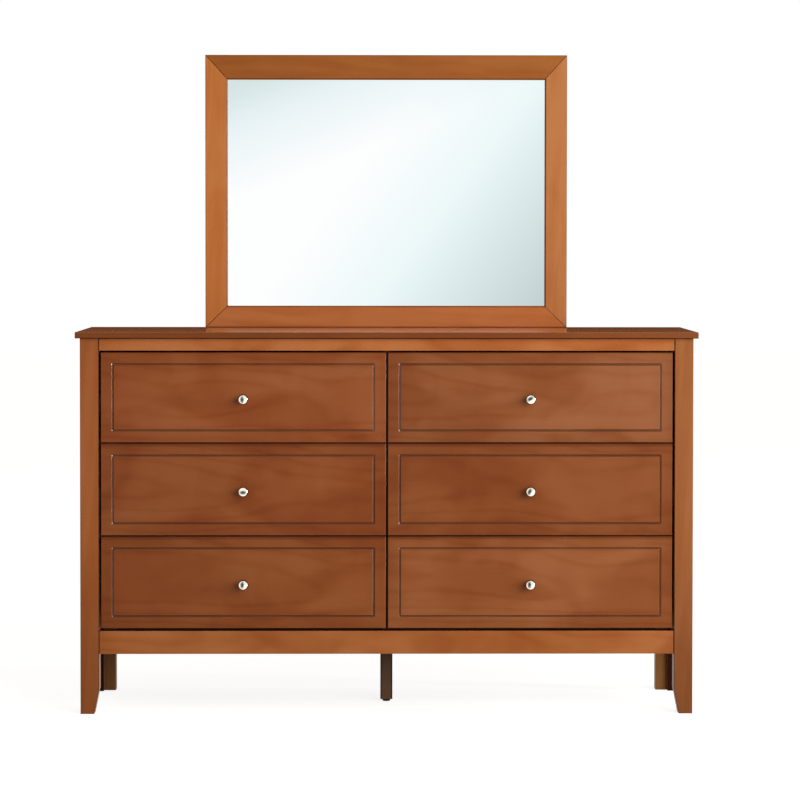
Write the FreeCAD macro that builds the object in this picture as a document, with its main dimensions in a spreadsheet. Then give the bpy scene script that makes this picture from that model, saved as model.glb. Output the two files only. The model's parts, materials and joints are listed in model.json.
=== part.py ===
"""Dresser with mirror: a post-and-rail case of six drawers, with a framed mirror standing on its top.

The frame has +Z up and the drawer fronts facing -Y. The origin is on the floor, under the middle of the
whole object. All sizes are in millimetres.
"""
import FreeCAD, Part
import os
import re
import Sketcher
from FreeCAD import Rotation, Vector

ROWS = ("bottom", "middle", "top")
SIDES = ("left", "right")

# Driving sizes
SIZES = {
    # Top slab
    "top_width": 1500,
    "top_depth": 400,
    "top_thick": 15,
    "side_overhang": 11,
    "front_overhang": 12,
    "edge_round": 1.5,
    # Front posts, tapered on the inner face of the foot
    "post_width": 45,
    "post_depth": 40,
    "taper_height": 60,
    "taper_inset": 12,
    # Front rails
    "leg_clear": 145,
    "bottom_rail_height": 57,
    "top_rail_height": 30,
    "rail_thick": 20,
    "rail_setback": 2,
    # Sides and back
    "side_panel_thick": 16,
    "side_panel_setback": 2,
    "stile_thick": 24,
    "stile_depth": 16,
    "back_board_width": 53,
    "back_board_thick": 33,
    "back_rail_height": 60,
    "back_rail_thick": 18,
    "back_panel_thick": 4,
    # Inside of the case
    "partition_thick": 18,
    "divider_height": 20,
    "divider_depth": 40,
    # Centre leg and its levelling glide
    "centre_leg_side": 30,
    "glide_height": 6,
    "glide_width": 20,
    "glide_stem": 8,
    "glide_stem_length": 25,
    "glide_bore_extra": 10,
    "thread_clearance": 0.3,
    # Drawer fronts and the gaps around them
    "front_height": 221.5,
    "top_front_height": 217,
    "top_gap": 4,
    "row_gap": 3,
    "bottom_gap": 5.5,
    "side_gap": 5,
    "centre_gap": 5,
    "stop_clearance": 1,
    "bead_inset": 26,
    "bead_width": 5.5,
    "bead_floor": 0.5,
    "bead_depth": 2.5,
    # Drawer boxes
    "box_side_thick": 12,
    "box_height": 160,
    "box_lift": 25,
    "box_back_clearance": 14,
    "box_bottom_thick": 4,
    "groove_depth": 5,
    "groove_rise": 10,
    "groove_clearance": 0.2,
    # Steel runners
    "runner_space": 12.7,
    "runner_height": 35,
    "runner_rise": 50,
    "runner_metal": 1.2,
    "runner_play": 2,
    "runner_clearance": 0.4,
    # Knobs and their screws
    "knob_width": 25,
    "knob_projection": 30,
    "knob_head_thick": 14,
    "knob_front_round": 8,
    "knob_back_round": 3,
    "knob_neck": 10,
    "knob_foot": 15,
    "knob_foot_thick": 2,
    "knob_drop": 4,
    "knob_screw": 4,
    "knob_screw_grip": 12,
    "screw_head": 9,
    "screw_head_thick": 2.5,
    "screw_clearance": 0.1,
    # Mirror
    "mirror_width": 917,
    "mirror_height": 690,
    "mirror_thick": 20,
    "mirror_stile": 56.5,
    "mirror_top_rail": 62.5,
    "mirror_bottom_rail": 54.5,
    "rebate_width": 8,
    "rebate_depth": 12,
    "sight_bevel": 3.5,
    "glass_thick": 4,
    "backing_thick": 3,
    "glass_clearance": 1,
    # Bars that hold the mirror to the back of the case
    "support_width": 45,
    "support_thick": 18,
    "support_rise": 450,
    "support_screw": 5,
    "support_screw_length": 32,
    "support_screw_low": 140,
    "support_screw_end": 50,
}

# Places and sizes that follow from the driving sizes
LAYOUT = {
    "case_side": "top_width / 2 - side_overhang",
    "post_inner": "case_side - post_width",
    "back_inner": "case_side - back_board_width",
    "knob_reach": "knob_projection - rail_setback",
    "back_reach": "top_depth - front_overhang + support_thick + screw_head_thick",
    "front_plane": "(knob_reach - back_reach) / 2",
    "post_back": "front_plane + post_depth",
    "case_back": "front_plane + top_depth - front_overhang",
    "back_board_front": "case_back - back_board_thick",
    "stile_front": "back_board_front - stile_depth",
    "back_panel_front": "case_back - back_panel_thick",
    "back_rail_front": "back_panel_front - back_rail_thick",
    "rail_front": "front_plane + rail_setback",
    "rail_back": "rail_front + rail_thick",
    "opening_bottom": "leg_clear + bottom_rail_height",
    "front_pitch": "front_height + row_gap",
    "lowest_front": "opening_bottom + bottom_gap",
    "opening_top": f"lowest_front + {len(ROWS) - 1} * front_pitch + top_front_height + top_gap",
    "case_top": "opening_top + top_rail_height",
    "case_height": "case_top - leg_clear",
    "surface": "case_top + top_thick",
    "front_width": "post_inner - side_gap - centre_gap / 2",
    "front_thick": "rail_thick - stop_clearance",
    "box_front": "rail_front + front_thick",
    "box_length": "back_board_front - box_back_clearance - box_front",
    "bay_inner": "partition_thick / 2",
    "bay_width": "post_inner - bay_inner",
    "box_width": "bay_width - 2 * runner_space",
    "runner_reach": "runner_space - runner_metal - runner_play",
    "runner_length": "back_board_front - rail_back",
    "member_inset": "runner_metal + runner_clearance",
    "member_height": "runner_height - 2 * member_inset",
    "mirror_front": "case_back - mirror_thick",
    "mirror_top": "surface + mirror_height",
    "glass_front": "case_back - rebate_depth",
    "glass_inset": "mirror_stile - rebate_width + glass_clearance",
    "glass_bottom": "surface + mirror_bottom_rail - rebate_width + glass_clearance",
    "glass_top": "mirror_top - mirror_top_rail + rebate_width - glass_clearance",
    "support_middle": "mirror_width / 2 - mirror_stile / 2",
    "support_bottom": "case_top - back_rail_height",
    "support_back": "case_back + support_thick",
}

doc = FreeCAD.newDocument("DresserWithMirror")
home = {}
nodes = []


def resolve(formula):
    """A formula of size names, written as an expression of the document."""

    def with_sheet(match):
        name = match.group()
        return f"{home[name]}.{name}" if name in home else name

    return re.sub(r"[a-z]\w*", with_sheet, formula)


def fill_sheet(name, cells):
    """A sheet of named cells, one to a row."""
    sheet = doc.addObject("Spreadsheet::Sheet", name)
    for row, (alias, content) in enumerate(cells.items(), start=1):
        formula = isinstance(content, str)
        sheet.set(f"A{row}", alias)
        sheet.set(f"B{row}", "=" + resolve(content) if formula else str(content))
        sheet.setAlias(f"B{row}", alias)
        home[alias] = name
    doc.recompute()
    return sheet


sizes = fill_sheet("Sizes", SIZES)
fill_sheet("Layout", LAYOUT)


def value(formula):
    """The number that a formula gives now."""
    return float(sizes.evalExpression(resolve(formula)))


def bind(item, **formulas):
    """Tie an object's properties to formulas."""
    for name, formula in formulas.items():
        item.setExpression(name, resolve(formula))


def place(item, x, y, z, turn=Rotation()):
    """Tie an object's place to formulas."""
    item.Placement.Rotation = turn
    for axis, formula in zip("xyz", (x, y, z)):
        item.setExpression(f"Placement.Base.{axis}", resolve(formula))


def node(item, label):
    """Name a finished piece and keep it for the export."""
    item.Label = label
    nodes.append(item)
    return item


def block(name, x, y, z):
    """A squared board. Each direction is a pair of formulas, its start and its length."""
    box = doc.addObject("Part::Box", name)
    bind(box, Length=x[1], Width=y[1], Height=z[1])
    place(box, x[0], y[0], z[0])
    return box


def rod(name, x, y, z, diameter, length, turn=Rotation()):
    """A round bar, used here as a drill."""
    bar = doc.addObject("Part::Cylinder", name)
    bind(bar, Radius=f"({diameter}) / 2", Height=length)
    place(bar, x, y, z, turn)
    return bar


def cut(name, base, tool):
    """One solid cut by another."""
    result = doc.addObject("Part::Cut", name)
    result.Base = base
    result.Tool = tool
    return result


def group(name, pieces):
    """Separate solids kept together."""
    compound = doc.addObject("Part::Compound", name)
    compound.Links = pieces
    return compound


def sketch_on(body, role, name):
    """An empty sketch on one of a body's own planes."""
    sketch = body.newObject("Sketcher::SketchObject", name)
    plane = next(item for item in body.Origin.OriginFeatures if item.Role == role)
    sketch.AttachmentSupport = [(plane, "")]
    sketch.MapMode = "FlatFace"
    return sketch


def pin_point(sketch, index, position, point):
    """Tie a sketch point to two formulas, its distances from the origin."""
    for kind, formula in zip(("DistanceX", "DistanceY"), point):
        rule = Sketcher.Constraint(kind, -1, 1, index, position, value(formula))
        sketch.setExpression(f"Constraints[{sketch.addConstraint(rule)}]", resolve(formula))


def outline(sketch, points):
    """A closed outline of straight lines through points, each a pair of formulas."""
    first = sketch.GeometryCount
    corners = [Vector(value(x), value(y), 0) for x, y in points]
    following = [(step + 1) % len(points) for step in range(len(points))]
    for step, after in enumerate(following):
        sketch.addGeometry(Part.LineSegment(corners[step], corners[after]))
    for step, after in enumerate(following):
        sketch.addConstraint(Sketcher.Constraint("Coincident", first + step, 2, first + after, 1))
    for step, point in enumerate(points):
        pin_point(sketch, first + step, 1, point)


def rectangle(sketch, left, low, right, high):
    """An upright rectangle between two corners."""
    outline(sketch, [(left, low), (right, low), (right, high), (left, high)])


def circle(sketch, point, diameter):
    """A circle around a point."""
    centre = Vector(value(point[0]), value(point[1]), 0)
    index = sketch.addGeometry(Part.Circle(centre, Vector(0, 0, 1), value(diameter) / 2))
    pin_point(sketch, index, 3, point)
    rule = Sketcher.Constraint("Diameter", index, value(diameter))
    sketch.setExpression(f"Constraints[{sketch.addConstraint(rule)}]", resolve(diameter))


def pad(body, sketch, length, backwards=False):
    """Thicken a sketch by a formula's length."""
    feature = body.newObject("PartDesign::Pad", sketch.Name + "_pad")
    feature.Profile = sketch
    feature.Reversed = backwards
    bind(feature, Length=length)
    doc.recompute()
    return feature


def pocket(body, sketch, depth=None):
    """Cut a sketch inwards from the front face, or right through where no depth is given."""
    before = body.Shape.Volume
    feature = body.newObject("PartDesign::Pocket", sketch.Name + "_pocket")
    feature.Profile = sketch
    if depth is None:
        feature.Type = "ThroughAll"
        feature.Midplane = True
    else:
        bind(feature, Length=depth)
    doc.recompute()
    if not body.Shape.Volume < before:
        raise RuntimeError(f"{feature.Name} cuts nothing")
    return feature


def revolve(body, sketch):
    """Turn a sketch about its upright axis."""
    feature = body.newObject("PartDesign::Revolution", sketch.Name + "_turned")
    feature.Profile = sketch
    feature.ReferenceAxis = (sketch, ["V_Axis"])
    feature.Angle = 360
    doc.recompute()
    return feature


def round_edges(body, base, radius, chosen):
    """Round those edges of a feature that a test picks."""
    edges = base.Shape.Edges
    names = [f"Edge{number}" for number, edge in enumerate(edges, start=1) if chosen(edge)]
    feature = body.newObject("PartDesign::Fillet", base.Name + "_round")
    feature.Base = (base, names)
    bind(feature, Radius=radius)
    doc.recompute()
    return feature


def on_front(edge):
    """True for an edge that lies in the front plane of its body."""
    return abs(edge.BoundBox.YMin) < 1e-6 and abs(edge.BoundBox.YMax) < 1e-6


# Top slab
def top_panel():
    body = doc.addObject("PartDesign::Body", "top_panel")
    plan = sketch_on(body, "XY_Plane", "top_plan")
    rectangle(plan, "0", "0", "top_width", "top_depth")
    slab = pad(body, plan, "top_thick")
    round_edges(body, slab, "edge_round", lambda edge: True)
    place(body, "-top_width / 2", "front_plane - front_overhang", "case_top")
    return node(body, "top_panel")


# Front posts
def front_post(side):
    body = doc.addObject("PartDesign::Body", f"{side}_front_post")
    face = sketch_on(body, "XZ_Plane", f"{side}_post_face")
    if side == "left":
        foot = [("0", "0"), ("post_width - taper_inset", "0"), ("post_width", "taper_height")]
        start = "-case_side"
    else:
        foot = [("0", "taper_height"), ("taper_inset", "0"), ("post_width", "0")]
        start = "post_inner"
    outline(face, foot + [("post_width", "case_top"), ("0", "case_top")])
    blank = pad(body, face, "post_depth", backwards=True)
    round_edges(body, blank, "edge_round", on_front)
    place(body, start, "front_plane", "0")
    return node(body, f"{side}_front_post")


# Back legs, each a side board and a back board in one L
def back_leg(side):
    sign = "-" if side == "left" else ""
    body = doc.addObject("PartDesign::Body", f"{side}_back_leg")
    plan = sketch_on(body, "XY_Plane", f"{side}_leg_plan")
    corners = [
        ("case_side", "0"),
        ("case_side", "stile_depth + back_board_thick"),
        ("back_inner", "stile_depth + back_board_thick"),
        ("back_inner", "stile_depth"),
        ("case_side - stile_thick", "stile_depth"),
        ("case_side - stile_thick", "0"),
    ]
    outline(plan, [(f"{sign}({x})", y) for x, y in corners])
    pad(body, plan, "case_top")
    place(body, "0", "stile_front", "0")
    return node(body, f"{side}_back_leg")


# Side panels, between a front post and a back leg
def side_panel(side):
    outer = "case_side - side_panel_setback"
    start = f"-({outer})" if side == "left" else f"{outer} - side_panel_thick"
    panel = block(
        f"{side}_side_panel",
        (start, "side_panel_thick"),
        ("post_back", "stile_front - post_back"),
        ("leg_clear", "case_height"),
    )
    return node(panel, f"{side}_side_panel")


# Rails between the front posts
def front_rail(name, bottom, height):
    rail = block(
        name,
        ("-post_inner", "2 * post_inner"),
        ("rail_front", "rail_thick"),
        (bottom, height),
    )
    return node(rail, name)


# Upright between the two columns of drawers
def centre_partition():
    board = block(
        "centre_partition",
        ("-bay_inner", "partition_thick"),
        ("rail_back", "back_rail_front - rail_back"),
        ("leg_clear", "case_height"),
    )
    return node(board, "centre_partition")


# Rails behind the joints between the rows of drawers
def divider_rails():
    rails = []
    for row in range(1, len(ROWS)):
        middle = f"lowest_front + {row} * front_pitch - row_gap / 2"
        for start in ("-post_inner", "bay_inner"):
            rail = block(
                "divider_rail",
                (start, "bay_width"),
                ("rail_back", "divider_depth"),
                (f"{middle} - divider_height / 2", "divider_height"),
            )
            rails.append(rail)
    return node(group("divider_rails", rails), "divider_rails")


# Leg under the partition, bored for the stem of its glide
def centre_leg():
    middle = "(front_plane + case_back) / 2"
    blank = block(
        "centre_leg_blank",
        ("-centre_leg_side / 2", "centre_leg_side"),
        (f"{middle} - centre_leg_side / 2", "centre_leg_side"),
        ("glide_height", "leg_clear - glide_height"),
    )
    bore = rod(
        "centre_leg_bore",
        "0",
        middle,
        "0",
        "glide_stem + 2 * thread_clearance",
        "glide_height + glide_stem_length + glide_bore_extra",
    )
    node(cut("centre_leg", blank, bore), "centre_leg")

    glide = doc.addObject("PartDesign::Body", "levelling_glide")
    profile = sketch_on(glide, "XZ_Plane", "glide_profile")
    outline(
        profile,
        [
            ("0", "0"),
            ("glide_width / 2", "0"),
            ("glide_width / 2", "glide_height"),
            ("glide_stem / 2", "glide_height"),
            ("glide_stem / 2", "glide_height + glide_stem_length"),
            ("0", "glide_height + glide_stem_length"),
        ],
    )
    revolve(glide, profile)
    place(glide, "0", middle, "0")
    return node(glide, "levelling_glide")


# Steel channel whose web stands on a wall and whose flanges face away from it
def channel(name, wall, facing, start, length, bottom, height):
    body = doc.addObject("PartDesign::Body", name)
    section = sketch_on(body, "XZ_Plane", f"{name}_section")
    corners = [
        ("0", "0"),
        ("runner_reach", "0"),
        ("runner_reach", "runner_metal"),
        ("runner_metal", "runner_metal"),
        ("runner_metal", f"{height} - runner_metal"),
        ("runner_reach", f"{height} - runner_metal"),
        ("runner_reach", height),
        ("0", height),
    ]
    outline(section, [(facing + x, z) for x, z in corners])
    pad(body, section, length, backwards=True)
    place(body, wall, start, bottom)
    return body


# Turned screw with a flat round head, its shank along +Z of its body
def screw(name, diameter, length):
    body = doc.addObject("PartDesign::Body", name)
    profile = sketch_on(body, "XZ_Plane", f"{name}_profile")
    outline(
        profile,
        [
            ("0", "0"),
            ("screw_head / 2", "0"),
            ("screw_head / 2", "screw_head_thick"),
            (f"{diameter} / 2", "screw_head_thick"),
            (f"{diameter} / 2", f"screw_head_thick + {length}"),
            ("0", f"screw_head_thick + {length}"),
        ],
    )
    revolve(body, profile)
    return body


# Drawer front, with a V-groove that frames its field and a hole for the knob's screw
def drawer_front(label, start, bottom, height):
    body = doc.addObject("PartDesign::Body", f"{label}_front")
    face = sketch_on(body, "XZ_Plane", f"{label}_face")
    rectangle(face, "0", "0", "front_width", height)
    blank = pad(body, face, "front_thick", backwards=True)
    round_edges(body, blank, "edge_round", on_front)

    def framed(sketch, inset):
        rectangle(sketch, inset, inset, f"front_width - {inset}", f"{height} - {inset}")

    slope = "atan((bead_width - bead_floor) / 2 / bead_depth)"
    sunk = sketch_on(body, "XZ_Plane", f"{label}_sunk")
    framed(sunk, "bead_inset")
    hollow = pocket(body, sunk, "bead_depth")
    bind(hollow, TaperAngle=f"-{slope}")
    field = sketch_on(body, "XZ_Plane", f"{label}_field")
    framed(field, "(bead_inset + (bead_width + bead_floor) / 2)")
    bind(field, **{"AttachmentOffset.Base.z": "-bead_depth"})
    raised = pad(body, field, "bead_depth")
    bind(raised, TaperAngle=f"-{slope}")
    hole = sketch_on(body, "XZ_Plane", f"{label}_screw_hole")
    circle(hole, ("front_width / 2", f"{height} / 2 - knob_drop"), "knob_screw + 2 * screw_clearance")
    pocket(body, hole)
    place(body, start, "rail_front", bottom)
    return node(body, f"{label}_front")


# Sides, back and bottom of a drawer: the bottom slides in grooves of the sides and under the back
def drawer_box(label, start, bottom):
    bottom_low = f"{bottom} + groove_rise"
    bottom_high = f"{bottom_low} + box_bottom_thick"
    inside = f"{start} + box_side_thick"
    inside_width = "box_width - 2 * box_side_thick"
    bottom_start = f"{inside} - groove_depth"
    bottom_width = f"{inside_width} + 2 * groove_depth"
    length = ("box_front", "box_length")
    groove = block(
        f"{label}_groove",
        (f"{bottom_start} - groove_clearance", f"{bottom_width} + 2 * groove_clearance"),
        length,
        (f"{bottom_low} - groove_clearance", "box_bottom_thick + 2 * groove_clearance"),
    )
    sides = []
    for side_start in (start, f"{start} + box_width - box_side_thick"):
        blank = block(
            f"{label}_side_blank",
            (side_start, "box_side_thick"),
            length,
            (bottom, "box_height"),
        )
        sides.append(cut(f"{label}_side", blank, groove))
    node(group(f"{label}_sides", sides), f"{label}_sides")
    back = block(
        f"{label}_back",
        (inside, inside_width),
        ("box_front + box_length - box_side_thick", "box_side_thick"),
        (bottom_high, "box_height - groove_rise - box_bottom_thick"),
    )
    node(back, f"{label}_back")
    panel = block(
        f"{label}_bottom",
        (bottom_start, bottom_width),
        length,
        (bottom_low, "box_bottom_thick"),
    )
    node(panel, f"{label}_bottom")


# Turned knob, drawn in from its foot to a neck under a rounded head, with the screw that holds it
def drawer_knob(label, x, z):
    turned = doc.addObject("PartDesign::Body", f"{label}_knob_turned")
    profile = sketch_on(turned, "XZ_Plane", f"{label}_knob_profile")
    head_back = "knob_projection - knob_head_thick"
    bore = "knob_screw / 2 + screw_clearance"
    outline(
        profile,
        [
            (bore, "0"),
            ("knob_foot / 2", "0"),
            ("knob_foot / 2", "knob_foot_thick"),
            ("knob_neck / 2", "2 * knob_foot_thick"),
            ("knob_neck / 2", head_back),
            ("knob_width / 2", head_back),
            ("knob_width / 2", "knob_projection"),
            ("0", "knob_projection"),
            ("0", "knob_screw_grip"),
            (bore, "knob_screw_grip"),
        ],
    )
    shape = revolve(turned, profile)
    rim = value("knob_width / 2")

    def rim_at(height):
        def chosen(edge):
            low = edge.BoundBox.ZMin
            return abs(low - value(height)) < 1e-6 and abs(edge.BoundBox.XMax - rim) < 1e-6

        return chosen

    shape = round_edges(turned, shape, "knob_front_round", rim_at("knob_projection"))
    round_edges(turned, shape, "knob_back_round", rim_at(head_back))
    place(turned, x, "rail_front", z, Rotation(Vector(1, 0, 0), 90))
    shank = screw(f"{label}_knob_screw", "knob_screw", "front_thick + knob_screw_grip")
    place(shank, x, "box_front + screw_head_thick", z, Rotation(Vector(1, 0, 0), 90))
    return node(group(f"{label}_knob", [turned, shank]), f"{label}_knob")


# One drawer, in its column and row
def drawer(side, row, name):
    label = f"{name}_{side}_drawer"
    bottom = f"lowest_front + {row} * front_pitch"
    height = "top_front_height" if name == ROWS[-1] else "front_height"
    box_bottom = f"{bottom} + box_lift"
    front_start = "-centre_gap / 2 - front_width" if side == "left" else "centre_gap / 2"
    bay_start = "-post_inner" if side == "left" else "bay_inner"
    box_start = f"{bay_start} + runner_space"
    drawer_front(label, front_start, bottom, height)
    drawer_box(label, box_start, box_bottom)
    drawer_knob(label, f"{front_start} + front_width / 2", f"{bottom} + {height} / 2 - knob_drop")

    walls = ((box_start, "-"), (f"{box_start} + box_width", ""))
    members = [
        channel(
            f"{label}_member",
            wall,
            facing,
            "box_front",
            "box_length",
            f"{box_bottom} + runner_rise + member_inset",
            "member_height",
        )
        for wall, facing in walls
    ]
    node(group(f"{label}_runners", members), f"{label}_runners")

    walls = ((bay_start, ""), (f"{bay_start} + bay_width", "-"))
    return [
        channel(
            f"{label}_cabinet_runner",
            wall,
            facing,
            "rail_back",
            "runner_length",
            f"{box_bottom} + runner_rise",
            "runner_height",
        )
        for wall, facing in walls
    ]


# Mitred member of the mirror frame, with a bevelled sight edge and a rebate for the glass.
# It runs along +X of its body, its outer edge at Z = 0; the mitres meet the neighbours' widths.
def frame_member(label, length, width, neighbours, corner, angle):
    body = doc.addObject("PartDesign::Body", f"{label}_mitred")
    section = sketch_on(body, "YZ_Plane", f"{label}_section")
    rebate_floor = "mirror_thick - rebate_depth"
    outline(
        section,
        [
            ("edge_round", "0"),
            ("mirror_thick", "0"),
            ("mirror_thick", f"{width} - rebate_width"),
            (rebate_floor, f"{width} - rebate_width"),
            (rebate_floor, width),
            ("sight_bevel", width),
            ("0", f"{width} - sight_bevel"),
            ("0", "edge_round"),
        ],
    )
    pad(body, section, length)
    mitres = sketch_on(body, "XZ_Plane", f"{label}_mitres")
    near, far = neighbours
    outline(mitres, [("0", "0"), (near, width), ("0", width)])
    outline(mitres, [(length, "0"), (length, width), (f"{length} - {far}", width)])
    pocket(body, mitres)
    place(body, corner[0], "mirror_front", corner[1], Rotation(Vector(0, 1, 0), angle))
    return body


# Mirror: frame, glass, backing, and the bars and screws that fix it to the back of the case
def mirror(holes):
    left, right = "-mirror_width / 2", "mirror_width / 2"
    stiles = ("mirror_stile", "mirror_stile")
    bottom_rail = frame_member(
        "mirror_bottom_rail", "mirror_width", "mirror_bottom_rail", stiles, (left, "surface"), 0
    )
    node(bottom_rail, "mirror_bottom_rail")
    top_rail = frame_member(
        "mirror_top_rail", "mirror_width", "mirror_top_rail", stiles, (right, "mirror_top"), 180
    )
    node(top_rail, "mirror_top_rail")
    rails = ("mirror_top_rail", "mirror_bottom_rail")
    left_stile = frame_member(
        "mirror_left_stile", "mirror_height", "mirror_stile", rails, (left, "mirror_top"), 90
    )
    node(cut("mirror_left_stile", left_stile, holes), "mirror_left_stile")
    right_stile = frame_member(
        "mirror_right_stile", "mirror_height", "mirror_stile", rails[::-1], (right, "surface"), -90
    )
    node(cut("mirror_right_stile", right_stile, holes), "mirror_right_stile")

    across = (f"{left} + glass_inset", "mirror_width - 2 * glass_inset")
    upright = ("glass_bottom", "glass_top - glass_bottom")
    node(block("mirror_glass", across, ("glass_front", "glass_thick"), upright), "mirror_glass")
    backing = block("mirror_backing", across, ("glass_front + glass_thick", "backing_thick"), upright)
    node(backing, "mirror_backing")

    bars = []
    for middle in ("-support_middle", "support_middle"):
        blank = block(
            "mirror_support_blank",
            (f"{middle} - support_width / 2", "support_width"),
            ("case_back", "support_thick"),
            ("support_bottom", "surface + support_rise - support_bottom"),
        )
        bars.append(cut("mirror_support", blank, holes))
    node(group("mirror_supports", bars), "mirror_supports")


# Places of the screws in the bars: one into the top back rail, two into the mirror frame
SUPPORT_SCREW_HEIGHTS = (
    "case_top - back_rail_height / 2",
    "surface + support_screw_low",
    "surface + support_rise - support_screw_end",
)


def support_screws():
    into_case = Rotation(Vector(1, 0, 0), 90)
    screws = []
    drills = []
    for middle in ("-support_middle", "support_middle"):
        for height in SUPPORT_SCREW_HEIGHTS:
            shank = screw("support_screw", "support_screw", "support_screw_length")
            place(shank, middle, "support_back + screw_head_thick", height, into_case)
            screws.append(shank)
            drill = rod(
                "support_screw_hole",
                middle,
                "support_back",
                height,
                "support_screw + 2 * screw_clearance",
                "support_screw_length + screw_clearance",
                into_case,
            )
            drills.append(drill)
    node(group("support_screws", screws), "support_screws")
    return group("support_screw_holes", drills)


# Rails and panel of the back, drilled for the bars' screws
def case_back(holes):
    rails = []
    for bottom in ("leg_clear", "support_bottom"):
        rail = block(
            "back_rail",
            ("-back_inner", "2 * back_inner"),
            ("back_rail_front", "back_rail_thick"),
            (bottom, "back_rail_height"),
        )
        rails.append(rail)
    rails[-1] = cut("top_back_rail", rails[-1], holes)
    node(group("back_rails", rails), "back_rails")
    panel = block(
        "back_panel_blank",
        ("-back_inner", "2 * back_inner"),
        ("back_panel_front", "back_panel_thick"),
        ("leg_clear", "case_height"),
    )
    node(cut("back_panel", panel, holes), "back_panel")


# The whole dresser
top_panel()
for hand in SIDES:
    front_post(hand)
    back_leg(hand)
    side_panel(hand)
front_rail("top_front_rail", "opening_top", "top_rail_height")
front_rail("bottom_front_rail", "leg_clear", "bottom_rail_height")
divider_rails()
centre_partition()
centre_leg()
screw_holes = support_screws()
case_back(screw_holes)
mirror(screw_holes)
runners = []
for hand in SIDES:
    for level, level_name in enumerate(ROWS):
        runners += drawer(hand, level, level_name)
node(group("cabinet_runners", runners), "cabinet_runners")

doc.recompute()
failed = [item.Label for item in doc.Objects if {"Invalid", "Error"} & set(item.State)]
broken = [item.Label for item in nodes if item.Shape.isNull() or not item.Shape.isValid()]
if failed or broken:
    raise RuntimeError(f"not recomputed: {failed}, not valid: {broken}")

os.makedirs("parts", exist_ok=True)
for item in nodes:
    item.Shape.exportStep(f"parts/{item.Label}.step")
print(f"{len(nodes)} nodes written")
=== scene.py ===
import json
import math

import bmesh
import bpy
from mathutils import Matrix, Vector

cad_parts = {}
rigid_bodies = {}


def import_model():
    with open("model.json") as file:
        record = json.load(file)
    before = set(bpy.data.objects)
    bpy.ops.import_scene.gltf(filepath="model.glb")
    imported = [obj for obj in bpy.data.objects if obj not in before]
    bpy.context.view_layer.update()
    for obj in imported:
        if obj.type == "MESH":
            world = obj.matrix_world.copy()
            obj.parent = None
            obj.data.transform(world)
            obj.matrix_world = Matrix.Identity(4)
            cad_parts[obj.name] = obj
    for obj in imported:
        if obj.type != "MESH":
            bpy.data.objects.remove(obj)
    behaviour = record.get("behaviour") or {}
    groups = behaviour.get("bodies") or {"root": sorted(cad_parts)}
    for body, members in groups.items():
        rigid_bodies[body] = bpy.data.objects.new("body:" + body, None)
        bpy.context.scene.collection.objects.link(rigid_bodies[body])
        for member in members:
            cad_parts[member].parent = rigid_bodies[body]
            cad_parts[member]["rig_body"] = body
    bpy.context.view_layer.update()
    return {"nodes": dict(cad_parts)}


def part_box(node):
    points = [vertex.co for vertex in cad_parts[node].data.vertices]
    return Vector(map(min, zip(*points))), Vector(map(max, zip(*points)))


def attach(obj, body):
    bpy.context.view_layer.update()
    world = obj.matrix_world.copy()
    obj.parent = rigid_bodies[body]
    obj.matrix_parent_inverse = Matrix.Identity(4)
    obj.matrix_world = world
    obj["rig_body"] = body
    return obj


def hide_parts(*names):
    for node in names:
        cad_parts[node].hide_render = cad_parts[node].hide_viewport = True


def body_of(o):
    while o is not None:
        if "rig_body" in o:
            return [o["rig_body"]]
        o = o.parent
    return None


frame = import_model()
nodes = frame["nodes"]

# The studio is a white room with one large soft light in front of the dresser, at the right, and a strip
# light far out beside it that grazes the fronts, so that each groove has a bright wall. Gloss shows the
# room and the strip but not the big light, and the mirror shows a wall that is shaded in two corners.
FLOOR_REACH = 20.0
FLOOR_COLOUR = "#aeaca8"
FLOOR_LIFT = 0.83
FILL_STRENGTH = 0.4
WHITE = "#ffffff"
FAR_WALL_SPAN = 0.09               # sine of the angle over which its shades run, to each side
FAR_WALL_SHADES = (                # directions across the wall, each with its tones from end to end
    ((0.36, 0.0, -0.93), ((0.12, "#d7e4e4"), (0.2, "#eaf4f7"), (0.33, WHITE))),
    ((0.8, 0.0, -0.6), ((0.4, WHITE), (0.58, "#eef9fa"), (0.8, "#cddadb"), (0.9, "#bccacb"))))
FAR_WALL_REACH = (0.975, 0.988)    # cosines of the angle from straight behind the camera
SOFTBOXES = (("key_softbox", (2.8, -3.6, 1.8), (0.0, -0.2, 0.7), (4.2, 2.8), 190, False),
             ("side_strip", (7.0, -0.96, 0.9), (0.0, -0.19, 0.75), (0.5, 2.8), 310, True))


def linear(code):
    """Blender's linear colour for an sRGB hex code."""
    parts = [int(code[i:i + 2], 16) / 255 for i in (1, 3, 5)]
    return [p / 12.92 if p <= 0.04045 else ((p + 0.055) / 1.055) ** 2.4 for p in parts] + [1.0]


def add(tree, kind, inputs=None, **settings):
    """Adds one node with its settings; an input is a plain value, a socket or a node to link.

    A socket goes by its name, or by its number where names repeat, as on a Mix node."""
    node = tree.nodes.new(kind)
    for name, value in settings.items():
        setattr(node, name, value)
    for socket, value in (inputs or {}).items():
        if isinstance(value, bpy.types.Node):
            value = value.outputs[0]
        if isinstance(value, bpy.types.NodeSocket):
            tree.links.new(value, node.inputs[socket])
        else:
            node.inputs[socket].default_value = value
    return node


def new_material(name):
    """An empty node material, with its tree."""
    material = bpy.data.materials.new(name)
    material.use_nodes = True
    material.node_tree.nodes.clear()
    return material, material.node_tree


def set_stops(ramp, stops):
    """Gives a colour ramp its stops, each a place from 0 to 1 and a linear colour."""
    while len(ramp.color_ramp.elements) < len(stops):
        ramp.color_ramp.elements.new(1.0)
    for element, (place, colour) in zip(ramp.color_ramp.elements, stops):
        element.position = place
        element.color = colour


def put(name, mesh):
    """A new object in the scene, at the origin."""
    thing = bpy.data.objects.new(name, mesh)
    bpy.context.scene.collection.objects.link(thing)
    return thing


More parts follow.
